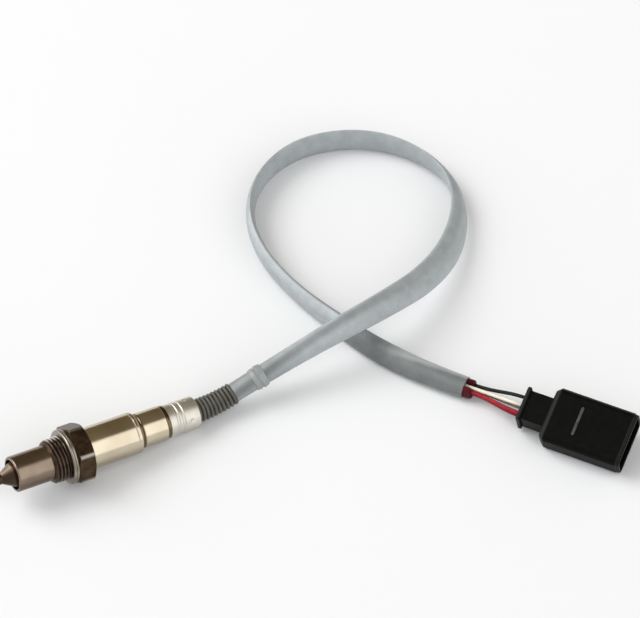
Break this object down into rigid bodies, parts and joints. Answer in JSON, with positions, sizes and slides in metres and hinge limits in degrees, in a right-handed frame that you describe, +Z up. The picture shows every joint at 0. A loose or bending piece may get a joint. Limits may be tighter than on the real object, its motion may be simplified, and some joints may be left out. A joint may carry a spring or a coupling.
{
  "type": "oxygen sensor",
  "caption": "Wideband exhaust oxygen sensor: screw-in steel probe with hexagon and gasket, ribbed boot, sleeved cable in a loose loop and a flat sealed plug.",
  "frame": {"origin": "on the surface it lies on, under the middle of the probe's box from the nose to the end of the ribbed boot; cable and plug not counted", "axes": "+Z up; +X along the probe seen from above, from the hot tip towards the cable; +Y to the side of the cable's loop"},
  "size_m": [0.2439, 0.2159, 0.0255],
  "materials": {
    "tube_steel": "satin",
    "shell_steel": "satin",
    "gasket_steel": "satin",
    "body_steel": "satin",
    "crimp_steel": "satin",
    "white_ceramic": "matte",
    "talc": "matte",
    "strip_ceramic": "satin",
    "spring_steel": "satin",
    "contact_metal": "satin",
    "grommet_rubber": "matte",
    "boot_rubber": "matte",
    "sleeve_rubber": "satin",
    "collar_plastic": "satin",
    "liner_rubber": "satin",
    "plug_plastic": "matte",
    "holder_plastic": "matte",
    "seal_rubber": "matte",
    "resistor_body": "satin",
    "pin_metal": "satin",
    "red_insulation": "satin",
    "white_insulation": "satin",
    "black_insulation": "satin",
    "grey_insulation": "satin"
  },
  "bodies": {
    "root": {"outer_protection_tube": "tube_steel", "inner_protection_tube": "tube_steel", "sensor_shell": "shell_steel", "seat_gasket": "gasket_steel", "front_bushing": "white_ceramic", "talc_seal": "talc", "rear_bushing": "white_ceramic", "clamp_ring": "spring_steel", "sensing_element": "strip_ceramic", "contact_holder": "white_ceramic", "holder_spring": "spring_steel", "body_sleeve": "body_steel", "crimp_sleeve": "crimp_steel", "rubber_grommet": "grommet_rubber", "corrugated_boot": "boot_rubber", "cable_sleeve": "sleeve_rubber", "sleeve_collar": "collar_plastic", "sleeve_liner": "liner_rubber", "plug_housing": "plug_plastic", "plug_rear_cap": "plug_plastic", "terminal_lock": "plug_plastic", "pin_holder": "holder_plastic", "wire_seal": "seal_rubber", "calibration_resistor": "resistor_body", "plug_wire_red_1": "red_insulation", "plug_wire_red_2": "red_insulation", "plug_wire_white": "white_insulation", "plug_wire_black": "black_insulation", "plug_wire_grey": "grey_insulation", "contact_spring_1": "contact_metal", "contact_spring_2": "contact_metal", "contact_spring_3": "contact_metal", "contact_spring_4": "contact_metal", "contact_spring_5": "contact_metal", "lead_wire_1": "red_insulation", "lead_wire_2": "white_insulation", "lead_wire_3": "black_insulation", "lead_wire_4": "red_insulation", "lead_wire_5": "grey_insulation", "plug_pin_1": "pin_metal", "plug_pin_2": "pin_metal", "plug_pin_3": "pin_metal", "plug_pin_4": "pin_metal", "plug_pin_5": "pin_metal", "plug_pin_6": "pin_metal"}
  },
  "joints": []
}
